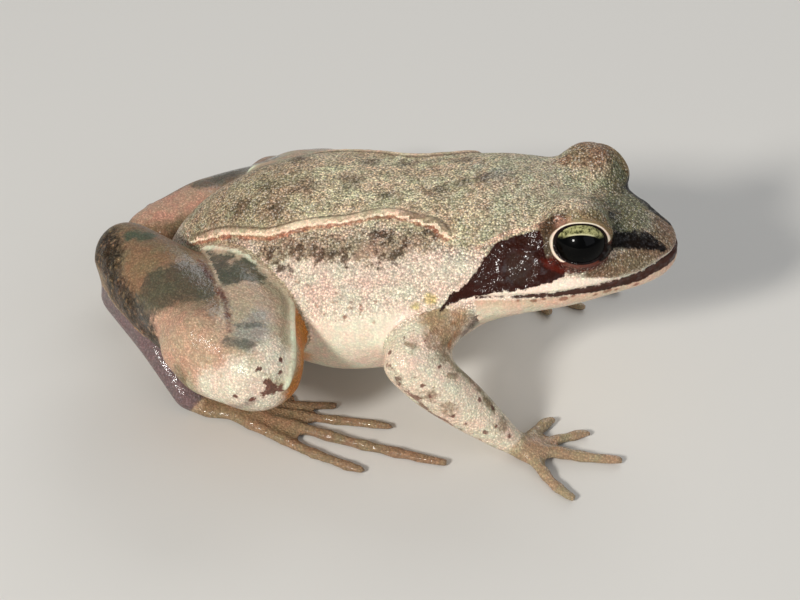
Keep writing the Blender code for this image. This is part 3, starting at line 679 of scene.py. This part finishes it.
        (17.7, 20.5), (16.0, 20.2), (14.4, 19.7), (13.1, 19.2), (11.6, 18.7)]), ease(y, 4.0, 6.0)),
    "lowerLid": np.maximum(rim - 1.35 + 0.15 * np.clip(eyeU, -3, 3), eyeV + 0.8 - 0.3 * eyeU),
    "eardrum": ear - 1.9,
    "snoutStripe": only(distanceToOutline(places, [(26.9, 26.3), (27.9, 25.8), (28.6, 25.2), (29.6, 24.8),
        (30.8, 24.4), (31.9, 23.9), (33.1, 23.0), (34.0, 22.2), (32.1, 22.85), (31.1, 23.2), (29.4, 23.7),
        (28.4, 24.0), (27.0, 24.2)]), ease(y, 1.6, 2.4)),
    "lids": rim * (1 + 0.6 * ease(eyeV, 0.4, 1.8)) + 3 * ease(-eyeV + 0.45 * eyeU, 1.2, 1.9),
    "lidShadow": rim - 0.02,
    # painted shade: the dark inside of the nostril
    "nostrilHole": np.linalg.norm(places - nostril, axis=1) - 0.32,
}
for name, values in fields.items():
    writeField(skin, name, np.clip(values, -6, 6))

grainLoss = {  # the share of its granules that a part or a marking loses; less than 0 is a gain
    "belly": 0.7, "digits": 0.6, "arm": 0.62, "leg": 0.6, "warts": -0.4, "lips": 0.75, "flank": 0.35,
    "fold": 0.85, "thighRim": 0.8, "dark": 0.85, "limbTips": 0.85,
}
wetness = {"everywhere": 0.2, "dark": -0.17, "drops": 0.95, "leg": 0.15, "arm": 0.25, "digits": 0.35,
           "spots": 0.7}
dropSeed = 11
limbs = np.clip(leg + arm + digits, 0, 1)
dark = ease(-np.minimum(np.minimum(fields["mask"], fields["snoutStripe"]), fields["mouthBand"]), -0.1, 0.3)
lips = ease(-np.minimum(fields["lipPale"], fields["jawSkin"]), -0.3, 0.2)
grain = 1 - grainLoss["belly"] * ease(-fields["belly"], 0, 2)
grain -= grainLoss["warts"] * ease(-fields["warts"], -1, 1)
grain -= grainLoss["digits"] * digits + grainLoss["arm"] * arm + grainLoss["leg"] * leg
grain *= (1 - grainLoss["lips"] * lips) * (1 - grainLoss["flank"] * ease(-fields["flank"], 0, 2))
grain *= 1 - grainLoss["fold"] * hump(foldDistance - 0.1, 0.6) * trunk
grain *= 1 - grainLoss["thighRim"] * hump(fields["thighRim"], 0.5) * leg
grain = np.clip(grain * (1 - grainLoss["dark"] * dark) * ease(rim, 0.2, 0.8), 0.05, 1)
writeField(skin, "grain", grain)
# where the granules' tops get painted glints, and relief under the wet film
writeField(skin, "tips", grain * (1 - grainLoss["limbTips"] * limbs))
wetParts = [fields[name] for name in ("thighBlue", "thighBar", "shankBar", "armWet")]
wetSpots = ease(-np.min(wetParts + [fields["legCrease"] - 1.0], axis=0), -1.5, 0.5)
drops = ease(spread(skin, np.random.default_rng(dropSeed).normal(0, 1, len(points)), 3), -0.05, 0.25)
wet = wetness["everywhere"] + wetness["leg"] * leg + wetness["arm"] * arm + wetness["digits"] * digits
wet += dark * (wetness["dark"] + wetness["drops"] * drops * (1 - 0.5 * ease(ear, 2.0, 5.0)))
writeField(skin, "wet", np.clip(wet + wetness["spots"] * wetSpots, 0, 1))
print("markings", len(fields))

# Materials.


def addNode(tree, kind, inputs=None, **options):  # adds a node and gives the socket of its result
    node = tree.nodes.new("ShaderNode" + kind)
    for key, value in options.items():
        setattr(node, key, value)
    for key, value in (inputs or {}).items():
        if isinstance(value, bpy.types.NodeSocket):
            tree.links.new(value, node.inputs[key])
        else:
            node.inputs[key].default_value = value
    return next(socket for socket in node.outputs if socket.enabled)


def newMaterial(name):
    material = bpy.data.materials.new(name)
    material.use_nodes = True
    return material, material.node_tree, material.node_tree.nodes["Principled BSDF"]


def setInputs(shader, values):
    for name, value in values.items():
        shader.inputs[name].default_value = value


skinPaint = {
    # the last colour on the next line is a painted glint on the granules' tops
    "back": "#ddcfb4", "backShade": "#978468", "backGlow": "#f8ebd0", "granuleTip": "#f6ecde",
    "tints": ("#ffece2", "#eff7e8"),
    # mm across a granule of the back, drawn coarser than in life so that it shows, and a wart of the heel
    "granule": 0.26, "wart": 0.85,
    "noises": {  # mm across one patch, detail, roughness
        "mottle": (1.6, 4.0, 0.6), "wander": (0.9, 3.0, 0.65), "speck": (0.24, 2.0, 0.7),
        "tintPatch": (2.6, 3.0, 0.7),
    },
    "ramps": {  # how a pattern is read: the pattern, where it starts and ends, its values there
        "cloud": ("mottle", 0.35, 0.65, 0.0, 1.0, "LINEAR"),
        "tint": ("tintPatch", 0.36, 0.64, 0.0, 1.0, "LINEAR"),
        "tone": ("granuleTone", 0.0, 1.0, 0.62, 1.42, "LINEAR"),
        # painted shade at the granules' edges, their middles painted lighter
        "pit": ("granule", 0.3, 0.75, 1.2, 0.42, "LINEAR"),
        "fleck": ("speck", 0.3, 0.7, 0.38, 1.75, "LINEAR"),
        "dome": ("granule", 0.7, 0.05, 0.0, 1.0, "SMOOTHSTEP"),
        # picks the granules whose tops get a painted glint
        "pale": ("granulePale", 0.6, 0.8, 0.0, 0.6, "SMOOTHSTEP"),
        "warty": ("warts", 1.5, -0.5, 0.0, 1.0, "SMOOTHSTEP"),
        # painted shade between the warts, their tops painted lighter
        "gap": ("wart", 0.2, 0.6, 1.5, 0.4, "SMOOTHSTEP"),
        "swell": ("wart", 0.65, 0.1, 0.0, 4.0, "SMOOTHSTEP"),
    },
    "evenness": 0.45,  # share of the back's middle colour over its cloudy one
    "skinBump": 0.16, "filmBump": 0.14,  # mm of the skin's relief, and of the wet film's over it
    "shader": {"Roughness": 0.5, "Specular IOR Level": 0.04, "Coat Roughness": 0.09,
               "Subsurface Weight": 0.12, "Subsurface Radius": (1.0, 0.4, 0.2), "Subsurface Scale": 0.0006},
    # name: (colour, softness of the edge in mm, how far the edge wanders in mm, strength). A line along a
    # field adds: the field, the field it stays inside, mm from the edge to the line's middle, half its width
    "markings": {
        "rump": ("#a4937a", 5.0, 1.0, 0.7),
        "headTop": ("#bcb7a2", 4.0, 1.5, 0.6),
        "snoutTop": ("#6f6c52", 3.0, 1.2, 0.88),
        "flank": ("#ebdad0", 1.6, 1.0, 0.9),
        "flankZone": ("#ac9682", 1.4, 2.6, 0.88),
        "flankDark": ("#4d392c", 1.0, 3.0, 0.8),
        "belly": ("#efe4d8", 2.8, 1.6, 1.0),
        "bellySpeck": ("#a9765f", 0.3, 2.0, 0.55),
        "bellySpot": ("#a0705c", 0.3, 0.4, 0.7),
        # painted shade in the grooves of the wrinkles
        "wrinkle": ("#b59a86", 0.5, 0.3, 0.6),
        "shoulderPale": ("#ecddd0", 2.2, 1.2, 0.85),
        "backBlotch": ("#4a3a27", 1.6, 2.2, 0.6),
        "backGrey": ("#8f9290", 1.6, 1.4, 0.5),
        "groin": ("#dd9a48", 2.6, 1.0, 0.9),
        # dark red painted shadow in the gap between the shanks and the rump
        "crotch": ("#8c3f28", 1.8, 0.6, 0.9),
        "armSkin": ("#e8dbcd", 1.2, 0.6, 0.95),
        "armTop": ("#9d8360", 1.6, 1.0, 0.85),
        "armInner": ("#8c7850", 0.7, 0.7, 0.7),
        "armpit": ("#a0714a", 1.4, 0.8, 0.8),
        # painted shadow in the hollow between the arm and the throat
        "armpitDark": ("#2a1711", 1.8, 0.4, 0.85),
        "armBlotch": ("#87745c", 1.0, 2.2, 0.7),
        "armCrease": ("#a4602c", 0.6, 0.4, 0.9),
        "armEdge": ("#70443a", 0.5, 1.0, 0.8),
        "armSpots": ("#6a3c34", 0.2, 0.4, 0.85),
        "armpitYellow": ("#c8bd76", 0.8, 0.5, 0.8),
        "thighSkin": ("#b8a894", 1.0, 0.4, 0.95),
        "shankSkin": ("#806a55", 1.0, 0.4, 0.95),
        "thighFront": ("#bd7830", 1.8, 0.8, 0.95),
        "legBelow": ("#d8a860", 3.0, 1.2, 0.85),
        "heelWarm": ("#8a7159", 2.0, 1.2, 0.9),
        "shankMid": ("#c4a490", 2.2, 1.4, 0.97),
        "warts": ("#5a4834", 1.6, 2.8, 0.85),
        "shankBar": ("#575041", 0.7, 1.2, 0.92),
        "heelGreen": ("#4d5a4a", 0.8, 0.8, 0.9),
        "thighBar": ("#45483a", 1.0, 1.6, 0.92),
        "thighBlue": ("#9a9c98", 1.6, 1.0, 0.8),
        "thighStreak": ("#66665f", 0.6, 0.8, 0.85),
        "kneeCream": ("#e6dcd0", 1.8, 1.6, 0.95),
        "kneeShade": ("#a08a84", 0.8, 0.6, 0.8),
        "kneePatch": ("#62352b", 0.18, 0.6, 0.92),
        # the crease between thigh and shank: reddish skin, darkened with painted shade
        "legCrease": ("#552516", 0.6, 0.5, 0.92),
        "thighRim": ("#f4f6e2", 0.35, 0.15, 0.97),
        "farPink": ("#c49e8e", 1.6, 1.0, 0.9),
        "farOlive": ("#5c574a", 1.2, 1.0, 0.85),
        "ankleSkin": ("#6c5d66", 1.0, 0.6, 0.95),
        "footSkin": ("#8f7760", 1.6, 0.8, 0.95),
        "handSkin": ("#a28c74", 1.8, 1.4, 0.9),
        "foldShade": ("#b0705a", 0.4, 0.5, 0.7, "fold", "foldMask", -0.68, 0.24),
        "foldTop": ("#5b4636", 0.2, 0.2, 0.7, "fold", "foldMask", 0.55, 0.12),
        "foldLine": ("#ffe6d2", 0.25, 0.25, 0.97, "fold", "foldMask", 0.0, 0.36),
        "cheek": ("#70583d", 1.2, 0.8, 0.88),
        "jawSkin": ("#dcc0ae", 0.5, 0.3, 0.95),
        "throat": ("#efe5d6", 1.6, 0.6, 0.9),
        "jawSpots": ("#8a5644", 0.3, 0.4, 0.75),
        "earFold": ("#efcdba", 0.3, 0.3, 0.85, "ear", "ear", 0.0, 0.3),
        "lipPale": ("#fbf0e6", 0.22, 0.25, 0.97),
        # dark skin of the lip's edge together with the painted shadow of the mouth slit
        "mouthBand": ("#35110a", 0.2, 0.4, 0.97),
        "lidBrown": ("#83593c", 2.0, 1.2, 0.7),
        "lidTan": ("#8f7553", 1.0, 0.5, 0.7),
        "lidBand": ("#452f20", 0.7, 0.5, 0.9),
        # pale pink patch behind the upper lid: skin colour with a painted highlight
        "lidPink": ("#cf9c8c", 0.8, 0.4, 0.7),
        "mask": ("#2c0904", 0.2, 0.6, 0.99),
        "lowerLid": ("#541a10", 0.6, 0.5, 0.93),
        "eardrum": ("#3a2722", 0.5, 0.3, 0.8),
        "snoutStripe": ("#0b0503", 0.25, 0.3, 0.99),
        "lidEdge": ("#f6e9dd", 0.14, 0.05, 0.97, "lids", "lids", 0.17, 0.13),
        "lidShadow": ("#140a08", 0.1, 0.0, 1.0),
        # painted shade: the dark inside of the nostril
        "nostrilHole": ("#0c0605", 0.12, 0.0, 1.0),
    },
}


def makeSkinMaterial():
    # Living skin, moist: soft light under the surface, small wet glints on its granules. The pale tops of
    # some granules are painted glints, and their edges painted shade.
    material, tree, shader = newMaterial("moist frog skin")
    place = addNode(tree, "TexCoord").node.outputs["Object"]
    field = {name: addNode(tree, "Attribute", attribute_name=name).node.outputs["Fac"]
             for name in (*fields, "grain", "tips", "wet")}
    pattern = {"warts": field["warts"]}
    for name, (across, detail, rough) in skinPaint["noises"].items():
        pattern[name] = addNode(tree, "TexNoise", {
            "Vector": place, "Scale": 1 / (across * mm), "Detail": detail, "Roughness": rough})
    pattern["granule"] = addNode(tree, "TexVoronoi", {
        "Vector": place, "Scale": 1 / (skinPaint["granule"] * mm), "Randomness": 0.9}, feature="F1")
    tones = addNode(tree, "SeparateColor", {0: pattern["granule"].node.outputs["Color"]}).node
    pattern["granuleTone"], pattern["granulePale"] = tones.outputs[0], tones.outputs[1]
    pattern["wart"] = addNode(tree, "TexVoronoi", {
        "Vector": place, "Scale": 1 / (skinPaint["wart"] * mm), "Smoothness": 0.35, "Randomness": 1.0
    }, feature="SMOOTH_F1")
    ramp = {}
    for name, (source, start, end, low, high, kind) in skinPaint["ramps"].items():
        ramp[name] = addNode(tree, "MapRange", {
            "Value": pattern[source], "From Min": start, "From Max": end, "To Min": low, "To Max": high
        }, interpolation_type=kind)
    centred = addNode(tree, "Math", {0: pattern["wander"], 1: 0.5}, operation="SUBTRACT")

    colour = addNode(tree, "Mix", {
        0: ramp["cloud"], 6: hexColour(skinPaint["backShade"]), 7: hexColour(skinPaint["backGlow"])
    }, data_type="RGBA")
    colour = addNode(tree, "Mix", {
        0: skinPaint["evenness"], 6: colour, 7: hexColour(skinPaint["back"])}, data_type="RGBA")
    for name, (paint, soft, wanders, strength, *line) in skinPaint["markings"].items():
        edge = field[line[0] if line else name]
        if line:
            inside = addNode(tree, "Math", {0: field[line[1]], 1: 1.0}, operation="SUBTRACT")
            offset = addNode(tree, "Math", {0: edge, 1: line[2]}, operation="SUBTRACT")
            width = addNode(tree, "Math", {0: offset}, operation="ABSOLUTE")
            edge = addNode(tree, "Math", {0: width, 1: line[3]}, operation="SUBTRACT")
            edge = addNode(tree, "Math", {0: edge, 1: inside}, operation="MAXIMUM")
        edge = addNode(tree, "Math", {0: centred, 1: 2 * wanders, 2: edge}, operation="MULTIPLY_ADD")
        share = addNode(tree, "MapRange", {
            "Value": edge, "From Min": soft / 2, "From Max": -soft / 2, "To Max": strength
        }, interpolation_type="SMOOTHSTEP")
        colour = addNode(tree, "Mix", {0: share, 6: colour, 7: hexColour(paint)}, data_type="RGBA")
    tint = addNode(tree, "Mix", {
        0: ramp["tint"], 6: hexColour(skinPaint["tints"][0]), 7: hexColour(skinPaint["tints"][1])
    }, data_type="RGBA")
    colour = addNode(tree, "VectorMath", {0: colour, 1: tint}, operation="MULTIPLY")
    # random tone and specks, times painted shade between the granules
    granules = addNode(tree, "Math", {0: ramp["tone"], 1: ramp["pit"]}, operation="MULTIPLY")
    granules = addNode(tree, "Math", {0: granules, 1: ramp["fleck"]}, operation="MULTIPLY")
    for share, light in ((field["grain"], granules), (ramp["warty"], ramp["gap"])):
        kept = addNode(tree, "Mix", {0: share, 2: 1.0, 3: light}, data_type="FLOAT")
        colour = addNode(tree, "VectorMath", {0: colour, 3: kept}, operation="SCALE")
    raised = addNode(tree, "Math", {0: ramp["dome"], 1: field["grain"]}, operation="MULTIPLY")
    # painted glints: a pale colour on the tops of some granules
    glintShare = addNode(tree, "Math", {0: ramp["pale"], 1: raised}, operation="MULTIPLY")
    glintShare = addNode(tree, "Math", {0: glintShare, 1: field["tips"]}, operation="MULTIPLY")
    colour = addNode(tree, "Mix", {
        0: glintShare, 6: colour, 7: hexColour(skinPaint["granuleTip"])}, data_type="RGBA")

    height = addNode(tree, "Math", {0: pattern["wander"], 1: raised}, operation="ADD")
    height = addNode(tree, "Math", {0: ramp["swell"], 1: ramp["warty"], 2: height}, operation="MULTIPLY_ADD")
    film = addNode(tree, "Math", {0: ramp["dome"], 1: field["tips"]}, operation="MULTIPLY")
    film = addNode(tree, "Math", {0: pattern["wander"], 1: 1.3, 2: film}, operation="MULTIPLY_ADD")
    for name, depth, source in (("Normal", "skinBump", height), ("Coat Normal", "filmBump", film)):
        bump = addNode(tree, "Bump", {"Strength": 1.0, "Distance": skinPaint[depth] * mm, "Height": source})
        tree.links.new(bump, shader.inputs[name])
    tree.links.new(colour, shader.inputs["Base Color"])
    tree.links.new(field["wet"], shader.inputs["Coat Weight"])
    setInputs(shader, skinPaint["shader"])
    return material


skin.data.materials.clear()
skin.data.materials.append(makeSkinMaterial())
print("skin painted")

# Eyes: a clear bulging cornea over an iris, its dark brown lower part painted near black as shade, with a
# gold crescent above an oval pupil.

eyePaint = {
    "pupil": "#010101", "pupilHalf": (2.6, 1.5), "pupilDrop": 0.4,  # mm
    # the third colour on the next line is the lower iris's dark brown, painted near black as shade
    "irisTop": "#b3b07a", "irisFleck": "#35361b", "irisLow": "#020202", "pupilRing": "#cfcaa0",
    "corneaRise": 0.2, "corneaAngle": 52.0,  # mm, degrees
    "shader": {"Roughness": 0.35, "IOR": 1.376, "Specular IOR Level": 0.03, "Coat Weight": 0.35,
               "Coat IOR": 1.3, "Coat Roughness": 0.03},
}


def makeEye(side):
    forward, up, outward = eyeAxes(side)
    centre = eyeCentre(side)
    bpy.ops.mesh.primitive_uv_sphere_add(segments=96, ring_count=64, radius=eyeOpening["ball"] * mm,
                                         location=centre * mm,
                                         rotation=Vector(outward).to_track_quat("Z", "Y").to_euler())
    ball = bpy.context.object
    ball.name = ball.data.name = "eyeball_" + side
    bpy.ops.object.transform_apply(location=True, rotation=True, scale=True)
    gaze = eyePlaces(readPoints(ball), side)
    angle = np.degrees(np.arccos(np.clip(gaze[:, 2] / eyeOpening["ball"], -1, 1)))
    rise = eyePaint["corneaRise"] * np.clip(1 - (angle / eyePaint["corneaAngle"]) ** 2, 0, 1) ** 2
    gaze *= (1 + rise / eyeOpening["ball"])[:, None]
    writePoints(ball, centre + gaze @ np.stack([forward, up, outward]))
    writeField(ball, "gaze", gaze, "FLOAT_VECTOR", "vector")
    ball.data.shade_smooth()
    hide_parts("eye_" + side)
    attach(ball, "root")
    return ball


def makeEyeMaterial():
    # Cornea and iris in one: the gloss is the wet cornea, the colours are the iris under it.
    material, tree, shader = newMaterial("wet cornea over iris")
    gaze = addNode(tree, "Attribute", attribute_name="gaze").node.outputs["Vector"]
    halfWide, halfHigh = eyePaint["pupilHalf"]
    oval = addNode(tree, "Mapping", {
        "Vector": gaze, "Location": (0.0, eyePaint["pupilDrop"] / halfHigh, 0.0),
        "Scale": (1 / halfWide, 1 / halfHigh, 0.0)})
    reach = addNode(tree, "VectorMath", {0: oval}, operation="LENGTH")  # 1 on the pupil's edge
    up = addNode(tree, "SeparateXYZ", {0: gaze}).node.outputs[1]
    flecks = addNode(tree, "TexNoise", {"Vector": gaze, "Scale": 2.6, "Detail": 5.0, "Roughness": 0.7})
    share = {}
    for name, source, start, end, kind in (
            # the lower iris: its dark brown, painted near black as shade
            ("irisFleck", flecks, 0.42, 0.62, "LINEAR"), ("irisLow", up, 1.1, 0.5, "SMOOTHSTEP"),
            ("pupilRing", reach, 1.14, 1.04, "SMOOTHSTEP"), ("pupil", reach, 1.04, 0.98, "SMOOTHSTEP"),
            ("upperHalf", up, 0.8, 1.1, "SMOOTHSTEP")):
        share[name] = addNode(tree, "MapRange", {
            "Value": source, "From Min": start, "From Max": end}, interpolation_type=kind)
    upperHalf = share.pop("upperHalf")
    share["pupilRing"] = addNode(tree, "Math", {0: share["pupilRing"], 1: upperHalf}, operation="MULTIPLY")
    colour = hexColour(eyePaint["irisTop"])
    for paint, part in share.items():
        colour = addNode(tree, "Mix", {0: part, 6: colour, 7: hexColour(eyePaint[paint])}, data_type="RGBA")
    tree.links.new(colour, shader.inputs["Base Color"])
    setInputs(shader, eyePaint["shader"])
    return material


eyeMaterial = makeEyeMaterial()
for side in sides:
    makeEye(side).data.materials.append(eyeMaterial)
print("eyes")

# Floor, light and camera.

viewShape = {
    "azimuth": 14.0, "elevation": 37.0,  # degrees
    "standpoint": (-1.83, -8.0, 5.0),    # mm, what the camera is measured from
    "distance": 270.0,                   # mm
    "aim": (2.95, -2.6, 10.4),           # mm, what the middle of the view looks at
    "lens": 102.06, "sensor": 36.0,      # mm
}
lamps = {  # place in metres, size in metres, watts, colour
    "key": ((-0.24, -0.57, 0.38), 0.1, 4.4, "#fffcf7"),
    "fill": ((0.5, -0.3, 0.35), 0.5, 0.8, "#f2f6ff"),
    "back": ((0.1, 0.6, 0.4), 0.5, 1.6, "#ffffff"),
}
surroundings = {"colour": "#dfe3e8", "strength": 0.36, "floor": "#d9d6d0"}


def addFloor():
    bpy.ops.mesh.primitive_plane_add(size=3.0, location=(0, 0, -0.00002))
    floor = bpy.context.object
    floor.name = "floor"
    material, tree, shader = newMaterial("pale studio floor")
    setInputs(shader, {"Base Color": hexColour(surroundings["floor"]), "Roughness": 0.8})
    floor.data.materials.append(material)


def aimAt(obj, target):
    obj.rotation_euler = (Vector(target) - obj.location).to_track_quat("-Z", "Y").to_euler()


def addLight(name, place, size, watts, colour):
    light = bpy.data.lights.new(name, "AREA")
    light.size, light.energy, light.color = size, watts, hexColour(colour)[:3]
    obj = bpy.data.objects.new(name, light)
    bpy.context.scene.collection.objects.link(obj)
    obj.location = place
    aimAt(obj, (0.0, 0.0, 0.01))


def addCamera():
    turn, rise = math.radians(viewShape["azimuth"]), math.radians(viewShape["elevation"])
    back = Vector((math.sin(turn) * math.cos(rise), -math.cos(turn) * math.cos(rise), math.sin(rise)))
    data = bpy.data.cameras.new("camera")
    data.sensor_width, data.lens = viewShape["sensor"], viewShape["lens"]
    data.clip_start = 0.01
    camera = bpy.data.objects.new("camera", data)
    bpy.context.scene.collection.objects.link(camera)
    camera.location = (Vector(viewShape["standpoint"]) + back * viewShape["distance"]) * mm
    aimAt(camera, Vector(viewShape["aim"]) * mm)
    bpy.context.scene.camera = camera


addFloor()
for name, lamp in lamps.items():
    addLight(name, *lamp)
bpy.context.scene.view_settings.view_transform = "Standard"  # plain colours, as the hex values read
world = bpy.data.worlds.new("studio")
bpy.context.scene.world = world
world.use_nodes = True
setInputs(world.node_tree.nodes["Background"], {"Color": hexColour(surroundings["colour"]),
                                                "Strength": surroundings["strength"]})
addCamera()
